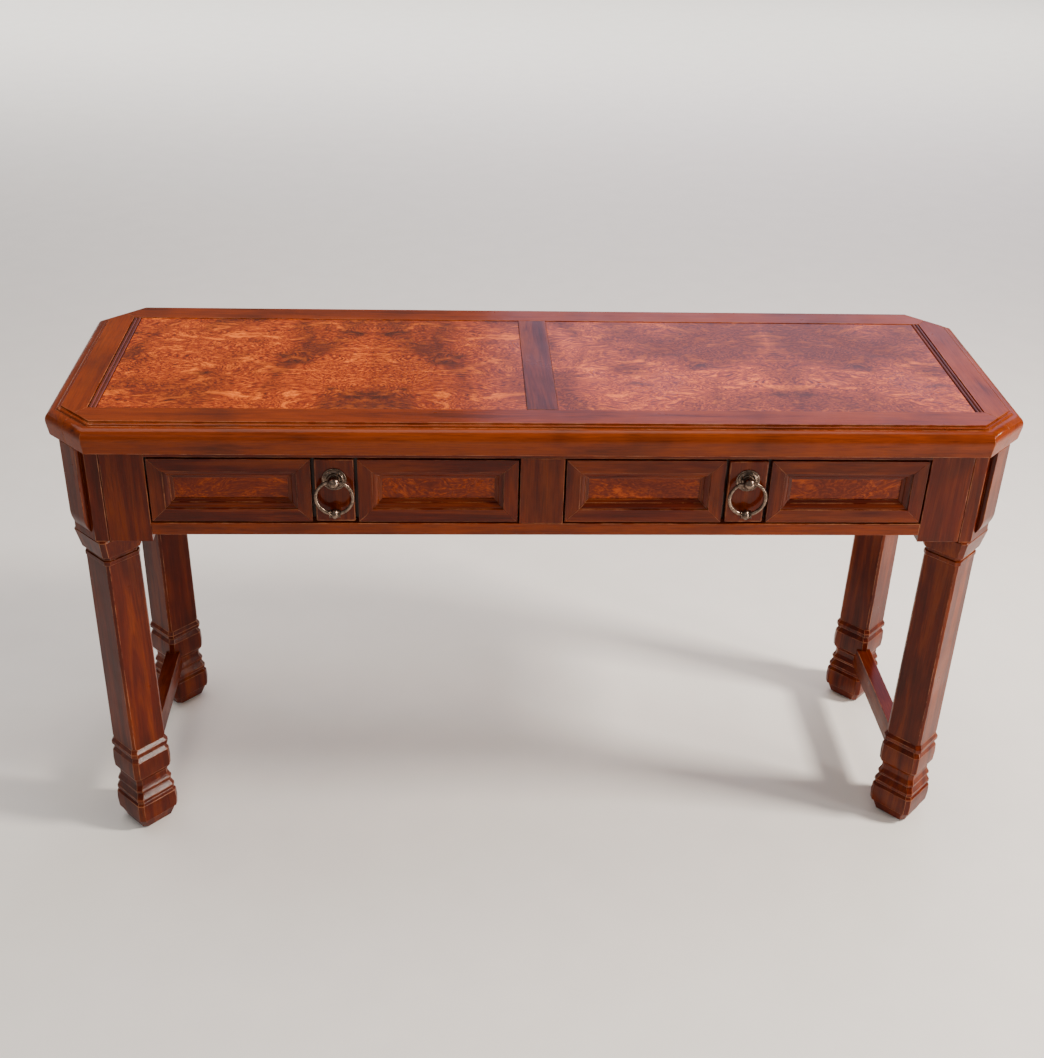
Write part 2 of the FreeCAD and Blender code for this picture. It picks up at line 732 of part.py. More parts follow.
def make_drawer(side, sign):
    middle = sign * drawer_middle
    name = f"drawer_{side}"
    level = (front_bottom, front_top)
    pad_half = size("pad_width") / 2
    block_inner = pad_half + "channel"
    through = size("moulding_depth") + "front_board" + 2
    stem_hole = rod(f"{name}_stem_hole", size("stem_radius") + "stem_gap", through,
                    middle, -(board_back - 1), pin_z, TOWARD_FRONT)

    slot_z = (slot_level, bottom_top + "slot_gap")
    slot_half = box_inner + "slot_depth"
    slot_front = -(board_back + "slot_depth")
    slot = block(f"{name}_slot", (middle - slot_half, middle + slot_half), (slot_front, box_end + 1), slot_z)

    board_x = (middle - front_half, middle + front_half)
    board = block(f"{name}_board", board_x, (-board_face, -board_back), level)
    keep(cut(f"{name}_front_cut", board, stem_hole, slot), f"{name}_front_board")
    pad = block(f"{name}_pad_block", (middle - pad_half, middle + pad_half), (-front, -board_face), level)
    keep(cut(f"{name}_pad_cut", pad, stem_hole), f"{name}_centre_pad")
    mitred_frame(f"{name}_frame_left", (middle - front_half, middle - block_inner), level)
    mitred_frame(f"{name}_frame_right", (middle + block_inner, middle + front_half), level)

    depth = (-board_back, box_end)
    for hand, turn in (("left", -1), ("right", 1)):
        inner, outer = middle + turn * box_inner, middle + turn * box_half
        x = (outer, inner) if turn < 0 else (inner, outer)
        wall = block(f"{name}_{hand}_wall", x, depth, (front_bottom, box_top))
        keep(cut(f"{name}_{hand}_cut", wall, slot), f"{name}_side_{hand}")
    back_y = (box_end - "side_thickness", box_end)
    x = (middle - box_inner, middle + box_inner)
    keep(block(f"{name}_back_block", x, back_y, (bottom_top + "slot_gap", box_top)), f"{name}_back")
    floor_half = slot_half - "slot_gap"
    floor_y = (slot_front + "slot_gap", box_end)
    x = (middle - floor_half, middle + floor_half)
    keep(block(f"{name}_floor", x, floor_y, (slot_level, bottom_top)), f"{name}_bottom")


# ---- ring pulls ----

def turned(name, points, x, y, z, rotation):
    """A body turned about its own axis, from an outline of (radius, distance along the axis)."""
    body = doc.addObject("PartDesign::Body", name)
    sketch = body.newObject("Sketcher::SketchObject", f"{name}_outline")
    planes = {feature.Role: feature for feature in body.Origin.OriginFeatures}
    sketch.AttachmentSupport = [(planes["XZ_Plane"], "")]
    sketch.MapMode = "FlatFace"
    draw(sketch, points)
    revolution = body.newObject("PartDesign::Revolution", f"{name}_revolution")
    revolution.Profile = sketch
    revolution.ReferenceAxis = (sketch, ["V_Axis"])
    revolution.Angle = 360
    place(body, x, y, z, rotation)
    return body


def make_plate(side, middle):
    """The round backplate, with a bead at its rim and a raised ring inside it."""
    rim, depth = size("plate_radius"), size("plate_depth")
    bore = size("stem_radius") + "stem_gap"
    outline = [
        (bore, 0), (rim, 0), (rim, depth * 0.35, 2, 1), (rim * 0.8, depth * 0.45), (rim * 0.78, depth * 0.45),
        (rim * 0.74, depth * 0.9), (rim * 0.6, depth), (rim * 0.56, depth * 0.65), (bore, depth * 0.65),
    ]
    name = f"pull_{side}_plate"
    keep(turned(name, outline, middle, -front, pin_z, TOWARD_FRONT), name)


def make_knob(side, middle):
    """The knob and its stem, which runs through the front to the nut, bored across for the ring."""
    radius, neck = size("knob_radius"), size("neck_radius")
    seat = size("plate_depth") * 0.65
    tail = -(size("moulding_depth") + "front_board" + "nut_height" + "stem_tail")
    outline = [
        (0, tail), ("stem_radius", tail), ("stem_radius", seat), (neck, seat),
        (neck, knob_reach - root_of_difference(radius, neck), radius, 1), (0, knob_reach + radius),
    ]
    blank = turned(f"pull_{side}_blank", outline, middle, -front, pin_z, TOWARD_FRONT)
    bore = rod(f"pull_{side}_bore", size("pin_radius") + "pin_gap", radius * 2 + 2,
               middle - radius - 1, pin_y, pin_z, ALONG_X)
    keep(cut(f"pull_{side}_bored", blank, bore), f"pull_{side}_knob")


def make_ring(side, middle):
    """The ring: a wire hoop closed by a straight pin through the knob, with a barrel as its weight."""
    drop = root_of_difference("ring_radius", chord_half)
    hoop_z = pin_z - drop
    name = f"pull_{side}_ring"
    hoop = doc.addObject("Part::Torus", f"{name}_hoop")
    hold(hoop, Radius1="ring_radius", Radius2="wire_radius")
    place(hoop, middle, pin_y, hoop_z, TOWARD_FRONT)
    wire = size("wire_radius") + 1
    gap = block(f"{name}_gap", (middle - chord_half, middle + chord_half), (pin_y - wire, pin_y + wire),
                (hoop_z, hoop_z + "ring_radius" + wire))
    pin = rod(f"{name}_pin", "pin_radius", chord_half * 2, middle - chord_half, pin_y, pin_z, ALONG_X)
    ends = [
        ball(f"{name}_end_{step}", "wire_radius", middle + step * chord_half, pin_y, pin_z)
        for step in (-1, 1)
    ]
    half, rim, length = size("barrel_length") / 2, size("collar_radius"), size("collar_length")
    groove = rim * 0.75
    bulge = size("barrel_radius") - 1.2
    outline = [
        (0, -(half + length)), (rim - 0.5, -(half + length)),
        (rim, -(half + length - 0.5)), (rim, -(half + 0.5)),
        (groove, -half), (bulge, -half, "barrel_round", 1), (bulge, half), (groove, half),
        (rim, half + 0.5), (rim, half + length - 0.5), (rim - 0.5, half + length), (0, half + length),
    ]
    barrel = turned(f"{name}_barrel", outline, middle, pin_y, hoop_z - "ring_radius", ALONG_X)
    keep(fuse(f"{name}_cast", cut(f"{name}_open", hoop, gap), pin, *ends, barrel), name)


def make_nut(side, middle):
    """The six-sided nut inside the drawer."""
    nut = doc.addObject("Part::Prism", f"pull_{side}_nut_blank")
    nut.Polygon = 6
    hold(nut, Circumradius="nut_radius", Height="nut_height")
    place(nut, middle, -board_back + "nut_height", pin_z, TOWARD_FRONT)
    bore = rod(f"pull_{side}_nut_bore", "stem_radius", size("nut_height") + 2,
               middle, -board_back + "nut_height" + 1, pin_z, TOWARD_FRONT)
    keep(cut(f"pull_{side}_nut_bored", nut, bore), f"pull_{side}_nut")


# ---- fixings ----

def make_screws():
    in_rail, in_kicker = screw_places()
    screws = []
    for number, (x, y, z) in enumerate(in_rail + in_kicker):
        head = rod(f"screw_head_{number}", "screw_head", "screw_head_depth", x, y, z)
        shank = rod(f"screw_shank_{number}", "screw_radius", "screw_length", x, y, z)
        screws.append(fuse(f"screw_{number}", head, shank))
    keep(group("screws", *screws), "top_screws")


def make_glides():
    glides = []
    for corner, (sign_x, sign_y, _) in CORNERS.items():
        x, y = sign_x * leg_x, sign_y * leg_y
        disc = rod(f"{corner}_glide_disc", "glide_radius", "glide_height", x, y, 0)
        nail = rod(f"{corner}_glide_nail", "nail_radius", size("glide_height") + "nail_length", x, y, 0)
        glides.append(fuse(f"{corner}_glide", disc, nail))
    keep(group("glides", *glides), "floor_glides")


def check(things):
    """Stops at the first object that failed to build."""
    for thing in things:
        if "Invalid" in thing.State or "Error" in thing.State:
            raise RuntimeError(f"{thing.Name} did not build: {thing.State}")
    for piece in pieces:
        if piece.Shape.isNull() or not piece.Shape.isValid() or not piece.Shape.Solids:
            raise RuntimeError(f"{piece.Label} has no sound solid")


make_top()
make_legs_and_stretchers()
make_pilasters()
make_rails()
make_stiles_and_aprons()
make_runners()
make_kicker()
make_glue_blocks()
for hand, hand_sign in (("left", -1), ("right", 1)):
    make_drawer(hand, hand_sign)
    make_plate(hand, hand_sign * drawer_middle)
    make_knob(hand, hand_sign * drawer_middle)
    make_ring(hand, hand_sign * drawer_middle)
    make_nut(hand, hand_sign * drawer_middle)
make_screws()
make_glides()

doc.recompute()
check(doc.Objects)
os.makedirs("parts", exist_ok=True)
for piece in pieces:
    piece.Shape.exportStep(f"parts/{piece.Label}.step")
print(len(pieces), "pieces")
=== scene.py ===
"""Dresses a long panelled side table: stained and lacquered wood, burl veneer and antiqued ring pulls."""

import json
import math

import bpy
from bpy.props import FloatProperty, FloatVectorProperty, PointerProperty
from mathutils import Matrix, Vector

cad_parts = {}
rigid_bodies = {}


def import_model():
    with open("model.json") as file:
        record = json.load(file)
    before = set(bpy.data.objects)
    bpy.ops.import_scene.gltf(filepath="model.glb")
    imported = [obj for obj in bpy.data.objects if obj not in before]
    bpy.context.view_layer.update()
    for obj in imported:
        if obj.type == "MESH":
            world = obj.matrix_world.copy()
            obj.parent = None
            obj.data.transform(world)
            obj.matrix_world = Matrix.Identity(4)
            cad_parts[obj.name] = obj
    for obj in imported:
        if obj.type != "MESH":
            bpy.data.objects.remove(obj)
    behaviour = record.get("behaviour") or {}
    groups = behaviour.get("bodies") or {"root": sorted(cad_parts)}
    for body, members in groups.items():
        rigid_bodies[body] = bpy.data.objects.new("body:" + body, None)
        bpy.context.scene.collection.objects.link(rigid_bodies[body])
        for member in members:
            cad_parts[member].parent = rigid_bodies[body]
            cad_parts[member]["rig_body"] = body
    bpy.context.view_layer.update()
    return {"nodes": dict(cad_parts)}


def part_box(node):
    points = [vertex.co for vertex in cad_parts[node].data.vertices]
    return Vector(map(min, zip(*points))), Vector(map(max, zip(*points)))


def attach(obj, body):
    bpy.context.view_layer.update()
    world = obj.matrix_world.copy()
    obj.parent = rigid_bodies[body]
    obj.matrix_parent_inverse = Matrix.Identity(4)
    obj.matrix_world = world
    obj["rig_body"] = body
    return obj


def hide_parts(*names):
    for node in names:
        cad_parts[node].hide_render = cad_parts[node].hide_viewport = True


bl_info = {
    "name": "Panelled Side Table Finish",
    "version": (1, 0, 0),
    "blender": (4, 5, 0),
    "location": "3D View > Sidebar > Table",
    "description": "Eases, stains and lacquers the table's boards and makes its ring pulls",
    "category": "Object",
}

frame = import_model()

MM = 0.001
X, Y, Z = 0, 1, 2
SIDES = ("left", "right")
ENDS = ("front", "back")


def linear(code):
    """An sRGB hex colour as linear red, green, blue and alpha."""
    shares = [int(code[i : i + 2], 16) / 255 for i in (0, 2, 4)]
    return (*(s / 12.92 if s <= 0.04045 else ((s + 0.055) / 1.055) ** 2.4 for s in shares), 1.0)


def colour(name, code, description):
    """A colour that the sidebar can change."""
    return FloatVectorProperty(
        name=name, description=description, default=linear(code), size=4, subtype="COLOR", min=0, max=1
    )


def length(name, millimetres, description):
    """A length that the sidebar can change."""
    return FloatProperty(
        name=name, description=description, default=millimetres * MM, unit="LENGTH", precision=4, min=0
    )


# ---- what a user would change ----


class TableTones(bpy.types.PropertyGroup):
    """The colours of the woods and metals."""

    stain_dark: colour("Dark grain", "1E0500", "The late wood, where the stain took most")
    stain_mid: colour("Stain", "501300", "The red brown of most of the wood")
    stain_light: colour("Light grain", "843600", "The early wood, where the stain took least")
    # lighter eased edges: partly real wear, partly a painted highlight
    edge_scuff_and_gleam: colour("Scuffed and gleaming edge", "C48058", "Edges rubbed back towards bare wood, with a painted highlight")
    top_mid: colour("Top border", "742A00", "The border boards of the top, faded by use")
    inlay_mid: colour("Dark wood", "46160C", "The divider and the reeded strips")
    burl_dark: colour("Burl shade", "2C0A00", "The burl's clouds and eyes")
    burl_mid: colour("Burl ground", "8A2C00", "The burl between its swirls")
    burl_light: colour("Burl swirl", "F07000", "The burl's bright swirls and flecks")
    field_mid: colour("Field veneer", "6A2000", "The drawers' sunk fields, between their swirls")
    field_light: colour("Field swirl", "AA4400", "The bright swirls of the drawers' sunk fields")
    plain_dark: colour("Plain wood grain", "8A6238", "The grain of the unstained wood inside")
    plain_mid: colour("Plain wood", "BE9460", "The unstained wood inside")
    patina: colour("Patina", "382C26", "The dark of the antiqued metal")
    metal: colour("Rubbed metal", "8A7668", "The antiqued metal where hands rub it")
    zinc: colour("Zinc", "A8ACB0", "Screws, nuts and glides")
    floor: colour("Floor", "F3F1EE", "The plain floor that the table stands on")


class TableEasing(bpy.types.PropertyGroup):
    """How far the sharp edges are taken off."""

    board: length("Boards", 0.9, "Easing of the rails, stiles, aprons and legs")
    top: length("Top", 0.8, "Easing of the top's boards")
    panel: length("Panels", 0.4, "Easing of the veneered panels and the reeds")
    pad: length("Centre pads", 2.4, "Easing of the pads that carry the pulls")
    moulding: length("Drawer mouldings", 0.45, "Easing of the mitred mouldings")


class PullSizes(bpy.types.PropertyGroup):
    """The ring pulls' own sizes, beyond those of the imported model."""

    wire: length("Wire radius", 2.5, "Radius of the ring's wire at its top")
    swelling: length("Swelling", 0.35, "How much thicker the wire is at the bottom")
    barrel: length("Barrel radius", 7.8, "Radius of the barrel that weighs the ring")
    collar: length("Collar radius", 6.2, "Radius of the thin discs beside the barrel")


class StageLights(bpy.types.PropertyGroup):
    """The strengths of the studio's lights."""

    key: FloatProperty(name="Key", description="High light at the right", default=170, unit="POWER", min=0)
    sky: FloatProperty(name="Sky", description="Soft light overhead", default=72, unit="POWER", min=0)
    window: FloatProperty(name="Window", description="Broad light behind", default=56, unit="POWER", min=0)
    side: FloatProperty(name="Side", description="Low light at the right", default=30, unit="POWER", min=0)
    backdrop: FloatProperty(
        name="Backdrop", description="Light on the floor far behind", default=350, unit="POWER", min=0
    )
    fill: FloatProperty(name="Fill", description="Weak light in front", default=12, unit="POWER", min=0)
    room: FloatProperty(name="Room", description="Light from all round", default=0.4, min=0)


# ---- shading ----


def add(tree, kind, inputs=(), output=None, stops=(), **options):
    """Adds one shader node with its options, values, links and colour stops, and gives its output."""
    node = tree.nodes.new(f"ShaderNode{kind}")
    for option, value in options.items():
        setattr(node, option, value)
    sockets = {socket.identifier: socket for socket in node.inputs}
    for name, value in dict(inputs).items():
        if isinstance(value, bpy.types.NodeSocket):
            tree.links.new(value, sockets[name])
        else:
            sockets[name].default_value = value
    if stops:
        elements = node.color_ramp.elements
        elements[0].position, elements[0].color = stops[0]
        elements[-1].position, elements[-1].color = stops[-1]
        for position, tone in stops[1:-1]:
            elements.new(position).color = tone
    return node.outputs[output] if output else next(o for o in node.outputs if o.enabled)


def new_material(name):
    """An empty material, with the place on the object in metres."""
    material = bpy.data.materials.new(name)
    material.use_nodes = True
    tree = material.node_tree
    tree.nodes.clear()
    return material, tree, add(tree, "TexCoord", output="Object")


def surface(tree, values):
    """Ends a material in one principled shader."""
    shader = add(tree, "BsdfPrincipled", values)
    end = tree.nodes.new("ShaderNodeOutputMaterial")
    tree.links.new(shader, end.inputs["Surface"])


def grey(value):
    """A grey for a ramp that carries a number."""
    return (value, value, value, 1)


def long_grain(axis, stretch):
    """The scale that draws a pattern out along the grain."""
    scale = [1.0, 1.0, 1.0]
    scale[axis] = 1 / stretch
    return scale


def stained_wood(name, axis, shift, dark, mid, light, scuffed_gleaming_tone, scuff_gleam_amount=0.0, stains=0.35):
    """Open-pored hardwood, planed, stained red brown and lacquered.

    The eye gets long soft bands of dark and light grain, fine streaks, cloudy stain and a satin gloss.
    """
    material, tree, place = new_material(name)
    board = add(tree, "Mapping", {"Vector": place, "Location": shift})
    # growth bands about 25 mm wide, drawn out 12 times along the board
    bands_at = add(tree, "Mapping", {"Vector": board, "Scale": long_grain(axis, 12)})
    bands = add(tree, "TexNoise", {
        "Vector": bands_at, "Scale": 40.0, "Detail": 4.0, "Roughness": 0.6, "Distortion": 0.7})
    toned = add(tree, "ValToRGB", {"Fac": bands}, stops=[(0.14, dark), (0.46, mid), (0.84, light)])
    # streaks of pores 0.3 mm wide, drawn about 2 mm wide so that they show
    streaks_at = add(tree, "Mapping", {"Vector": board, "Scale": long_grain(axis, 22)})
    streaks = add(tree, "TexNoise", {"Vector": streaks_at, "Scale": 500.0, "Detail": 3.0, "Roughness": 0.7})
    streak_tone = add(tree, "ValToRGB", {"Fac": streaks}, stops=[(0.34, grey(0.55)), (0.56, grey(1.0))])
    streaked = add(tree, "Mix", {"Factor_Float": 0.75, "A_Color": toned, "B_Color": streak_tone},
                   data_type="RGBA", blend_type="MULTIPLY")
    # stain that took unevenly, in clouds about 150 mm across
    clouds = add(tree, "TexNoise", {"Vector": board, "Scale": 6.5, "Detail": 3.0, "Roughness": 0.55})
    cloud_share = add(tree, "MapRange", {
        "Value": clouds, "From Min": 0.48, "From Max": 0.70, "To Max": stains})
    clouded = add(tree, "Mix", {"Factor_Float": cloud_share, "A_Color": streaked, "B_Color": dark},
                  data_type="RGBA")
    # edges lighter in runs about 40 mm long, partly rubbed bare and partly a painted highlight along the
    # eased edges
    scuff_gleam_noise = add(tree, "TexNoise", {"Vector": board, "Scale": 26.0, "Detail": 5.0, "Roughness": 0.7})
    scuff_gleam_mask = add(tree, "MapRange", {"Value": scuff_gleam_noise, "From Min": 0.42, "From Max": 0.66, "To Max": scuff_gleam_amount})
    rubbed = add(tree, "Mix", {"Factor_Float": scuff_gleam_mask, "A_Color": clouded, "B_Color": scuffed_gleaming_tone},
                 data_type="RGBA")
    # lacquer a little duller where hands and cloths have worked it, in patches about 60 mm across
    patches = add(tree, "TexNoise", {"Vector": board, "Scale": 16.0, "Detail": 4.0, "Roughness": 0.6})
    roughness = add(tree, "MapRange", {"Value": patches, "From Min": 0.3, "From Max": 0.7,
                                       "To Min": 0.27, "To Max": 0.44})
    normal = add(tree, "Bump", {"Height": streaks, "Strength": 0.25, "Distance": 0.0004})
    surface(tree, {"Base Color": rubbed, "Roughness": roughness, "Normal": normal,
                   "IOR": 1.5, "Specular IOR Level": 0.04, "Coat Weight": 0.28, "Coat Roughness": 0.1,
                   "Coat Normal": normal})
    return material


def burl_veneer(name, leaf_joint, shift, dark, mid, light, shade_gap_place=None):
    """Burl veneer in two leaves, glued down, sanded and lacquered.

    The eye gets swirls round small eyes, bright flecks and dark clouds, mirrored about the leaves' joint.
    """
    material, tree, place = new_material(name)
    parts = add(tree, "SeparateXYZ", {"Vector": place}, output="X")
    split = parts.node.outputs
    past = add(tree, "Math", {"Value": split["X"], "Value_001": leaf_joint}, operation="SUBTRACT")
    mirrored = add(tree, "Math", {"Value": past}, operation="ABSOLUTE")
    leaf = add(tree, "CombineXYZ", {"X": mirrored, "Y": split["Y"], "Z": split["Z"]})
    # the figure runs along the leaf, so it is drawn out twice that way
    flow = add(tree, "Mapping", {"Vector": leaf, "Location": shift, "Scale": (0.5, 1.0, 1.0)})
    # the wood turns about its buds, in whorls about 60 mm across
    turning = add(tree, "TexNoise", {"Vector": flow, "Scale": 16.0, "Detail": 2.0}, output="Color")
    turned_by = add(tree, "VectorMath", {"Vector": turning, "Scale": 0.075}, operation="SCALE")
    whorl = add(tree, "VectorMath", {"Vector": flow, "Vector_001": turned_by}, operation="ADD")
    field = add(tree, "TexNoise", {"Vector": whorl, "Scale": 20.0, "Detail": 3.0, "Roughness": 0.55})
    # growth lines 3 to 8 mm apart follow the whorls
    phase = add(tree, "Math", {"Value": field, "Value_001": 150.0}, operation="MULTIPLY")
    lines = add(tree, "Math", {"Value": phase}, operation="SINE")
    # fibres 0.5 mm wide, drawn about 3 mm wide so that they show
    fine = add(tree, "TexNoise", {"Vector": whorl, "Scale": 320.0, "Detail": 5.0, "Roughness": 0.75})
    line_share = add(tree, "MapRange", {"Value": lines, "From Min": -1.0, "To Min": -0.06, "To Max": 0.06})
    figure = add(tree, "Math", {"Value": fine, "Value_001": line_share}, operation="ADD")
    toned = add(tree, "ValToRGB", {"Fac": figure}, stops=[(0.29, dark), (0.50, mid), (0.75, light)])
    # bright flecks of end grain about 20 mm long, in drifts
    flecks = add(tree, "TexNoise", {"Vector": whorl, "Scale": 48.0, "Detail": 6.0, "Roughness": 0.75})
    fleck_share = add(tree, "MapRange", {"Value": flecks, "From Min": 0.54, "From Max": 0.66, "To Max": 0.95})
    flecked = add(tree, "Mix", {"Factor_Float": fleck_share, "A_Color": toned, "B_Color": light},
                  data_type="RGBA")
    # clouds of darker wood about 110 mm across
    clouds_at = add(tree, "Mapping", {"Vector": leaf, "Location": shift, "Scale": (1.0, 0.6, 1.0)})
    clouds = add(tree, "TexNoise", {
        "Vector": clouds_at, "Scale": 7.0, "Detail": 5.0, "Roughness": 0.5, "Distortion": 0.9})
    cloud_share = add(tree, "MapRange", {"Value": clouds, "From Min": 0.47, "From Max": 0.62, "To Max": 0.66})
    clouded = add(tree, "Mix", {"Factor_Float": cloud_share, "A_Color": flecked, "B_Color": dark},
                  data_type="RGBA")
    # bud eyes a few millimetres across, one every 60 mm or so
    eyes = add(tree, "TexVoronoi", {"Vector": whorl, "Scale": 17.0, "Randomness": 1.0})
    eye_share = add(tree, "MapRange", {"Value": eyes, "From Min": 0.05, "From Max": 0.24,
                                       "To Min": 0.75, "To Max": 0.0})
    eyed = add(tree, "Mix", {"Factor_Float": eye_share, "A_Color": clouded, "B_Color": dark},
               data_type="RGBA")
    # the second leaf took the stain a shade deeper
    second = add(tree, "Math", {"Value": past, "Value_001": 0.0}, operation="GREATER_THAN")
    second_share = add(tree, "Math", {"Value": second, "Value_001": 0.22}, operation="MULTIPLY")
    leaves = add(tree, "Mix", {"Factor_Float": second_share, "A_Color": eyed, "B_Color": dark},
                 data_type="RGBA")
    if shade_gap_place:
        # painted shade in the narrow gaps beside a drawer's centre pad, where shade falls
        middle, reach, face = shade_gap_place
        away = add(tree, "Math", {"Value": split["X"], "Value_001": middle}, operation="SUBTRACT")
        away = add(tree, "Math", {"Value": away}, operation="ABSOLUTE")
        shade_gap_mask = add(tree, "Math", {"Value": away, "Value_001": reach}, operation="LESS_THAN")
        # only on the front, at depths before the face's own
        front = add(tree, "Math", {"Value": split["Y"], "Value_001": face}, operation="LESS_THAN")
        shade_gap_mask = add(tree, "Math", {"Value": shade_gap_mask, "Value_001": front}, operation="MULTIPLY")
        # the painted shade is near black, almost fully over the gap
        gap_shade = add(tree, "Math", {"Value": shade_gap_mask, "Value_001": 0.93}, operation="MULTIPLY")
        leaves = add(tree, "Mix", {"Factor_Float": gap_shade, "A_Color": leaves, "B_Color": linear("160400")},
                     data_type="RGBA")
    roughness = add(tree, "MapRange", {"Value": clouds, "From Min": 0.3, "From Max": 0.7,
                                       "To Min": 0.24, "To Max": 0.38})
    normal = add(tree, "Bump", {"Height": fine, "Strength": 0.12, "Distance": 0.0003})
    surface(tree, {"Base Color": leaves, "Roughness": roughness, "Normal": normal,
                   "IOR": 1.5, "Specular IOR Level": 0.12, "Coat Weight": 0.14, "Coat Roughness": 0.16})
    return material


def plain_wood(name, axis, shift, dark, mid):
    """Poplar, planed and sealed but not stained.

    The eye gets a dry, pale surface with quiet straight grain.
    """
    material, tree, place = new_material(name)
    bands_at = add(tree, "Mapping", {"Vector": place, "Location": shift, "Scale": long_grain(axis, 14)})
    # growth rings about 12 mm apart where the saw cut along them
    bands = add(tree, "TexNoise", {
        "Vector": bands_at, "Scale": 80.0, "Detail": 4.0, "Roughness": 0.6, "Distortion": 0.5})
    toned = add(tree, "ValToRGB", {"Fac": bands}, stops=[(0.34, dark), (0.56, mid)])
    # fibres 0.3 mm wide, drawn about 2 mm wide so that they show
    fibres = add(tree, "TexNoise", {"Vector": bands_at, "Scale": 520.0, "Detail": 2.0})
    fibre_tone = add(tree, "ValToRGB", {"Fac": fibres}, stops=[(0.35, grey(0.8)), (0.6, grey(1.0))])
    fibred = add(tree, "Mix", {"Factor_Float": 0.6, "A_Color": toned, "B_Color": fibre_tone},
                 data_type="RGBA", blend_type="MULTIPLY")
    roughness = add(tree, "MapRange", {"Value": bands, "From Min": 0.3, "From Max": 0.7,
                                       "To Min": 0.55, "To Max": 0.72})
    normal = add(tree, "Bump", {"Height": fibres, "Strength": 0.2, "Distance": 0.0003})
    surface(tree, {"Base Color": fibred, "Roughness": roughness, "Normal": normal, "IOR": 1.5})
    return material


def antique_brass(name, patina, metal):
    """Cast brass, tumbled, blackened and rubbed back.

    The eye gets dark brown hollows and warm bright high spots with soft edges between them.
    """
    material, tree, place = new_material(name)
    # the blackening is rubbed through in spots about 5 mm across
    rubbing = add(tree, "TexNoise", {"Vector": place, "Scale": 190.0, "Detail": 5.0, "Roughness": 0.65})
    toned = add(tree, "ValToRGB", {"Fac": rubbing}, stops=[(0.30, patina), (0.66, metal)])
    roughness = add(tree, "MapRange", {"Value": rubbing, "From Min": 0.35, "From Max": 0.65,
                                       "To Min": 0.34, "To Max": 0.22})
    # the casting's grain, about 1 mm
    grain = add(tree, "TexNoise", {"Vector": place, "Scale": 900.0, "Detail": 2.0})
    normal = add(tree, "Bump", {"Height": grain, "Strength": 0.15, "Distance": 0.0002})
    surface(tree, {"Base Color": toned, "Metallic": 1.0, "Roughness": roughness, "Normal": normal})
    return material


def zinc_plated_steel(name, zinc):
    """Drawn steel, plated with zinc.

    The eye gets a cool grey with a faint cloudy bloom.
    """
    material, tree, place = new_material(name)
    # the bloom's spangles are about 2 mm across
    bloom = add(tree, "TexNoise", {"Vector": place, "Scale": 500.0, "Detail": 3.0})
    bloom_tone = add(tree, "ValToRGB", {"Fac": bloom}, stops=[(0.35, grey(0.6)), (0.65, grey(1.0))])
    toned = add(tree, "Mix", {"Factor_Float": 0.6, "A_Color": zinc, "B_Color": bloom_tone},
                data_type="RGBA", blend_type="MULTIPLY")
    roughness = add(tree, "MapRange", {"Value": bloom, "To Min": 0.28, "To Max": 0.5})
    surface(tree, {"Base Color": toned, "Metallic": 1.0, "Roughness": roughness})
    return material


def painted_floor(name, pale):
    """A painted studio floor.

    The eye gets an even, pale, dull surface with the faintest mottle.
    """
    material, tree, place = new_material(name)
    # roller mottle about 80 mm across
    mottle = add(tree, "TexNoise", {"Vector": place, "Scale": 12.0, "Detail": 3.0})
    mottle_tone = add(tree, "ValToRGB", {"Fac": mottle}, stops=[(0.3, grey(0.97)), (0.7, grey(1.0))])
    toned = add(tree, "Mix", {"Factor_Float": 1.0, "A_Color": pale, "B_Color": mottle_tone},
                data_type="RGBA", blend_type="MULTIPLY")
    surface(tree, {"Base Color": toned, "Roughness": 0.85})
    return material


def case_wood(run, axis, shift, mid=None, stains=0.35):
    """The case's stained wood for one run of boards, and the same wood lightened at its edges, partly by wear
    and partly by a painted highlight.
    """
    tones = bpy.context.scene.table_tones
    mid = tones.stain_mid if mid is None else mid
    return [
        stained_wood(f"Stained hardwood {run}{part}", axis, shift, tones.stain_dark, mid,
                     tones.stain_light, tones.edge_scuff_and_gleam, scuff_gleam_amount, stains)
        # the second finish goes on the eased edges: partly rubbed wear, partly a painted highlight
        for part, scuff_gleam_amount in (("", 0.0), (" rubbed edge", 0.45))
    ]


# ---- modelling ----


def select_only(piece):
    """Selects one piece and makes it the active one."""
    bpy.ops.object.select_all(action="DESELECT")
    piece.select_set(True)
    bpy.context.view_layer.objects.active = piece


def select_points(piece, chosen):
    """Opens a piece in edit mode, with only the points selected whose place chosen() accepts."""
    select_only(piece)
    bpy.ops.object.mode_set(mode="EDIT")
    bpy.ops.mesh.select_mode(type="VERT")
    bpy.ops.mesh.select_all(action="DESELECT")
    bpy.ops.object.mode_set(mode="OBJECT")
    for vertex in piece.data.vertices:
        vertex.select = chosen(vertex.co)
    bpy.ops.object.mode_set(mode="EDIT")


def settle(piece):
    """Puts a piece's place, turn and scale in its mesh."""
    select_only(piece)
    bpy.ops.object.transform_apply(location=True, rotation=True, scale=True)


def copied(name, mesh):
    """A new piece with its own copy of a mesh."""
    piece = bpy.data.objects.new(name, mesh.copy())
    bpy.context.scene.collection.objects.link(piece)
    return piece


def close_up(piece):
    """Merges a piece's loose triangles and clears their flat joints away."""
    select_only(piece)
    bpy.ops.object.mode_set(mode="EDIT")
    bpy.ops.mesh.select_all(action="SELECT")
    bpy.ops.mesh.remove_doubles(threshold=0.00001)
    bpy.ops.mesh.dissolve_limited(angle_limit=math.radians(1))
    bpy.ops.mesh.normals_make_consistent(inside=False)
    bpy.ops.object.mode_set(mode="OBJECT")
    bpy.ops.mesh.customdata_custom_splitnormals_clear()


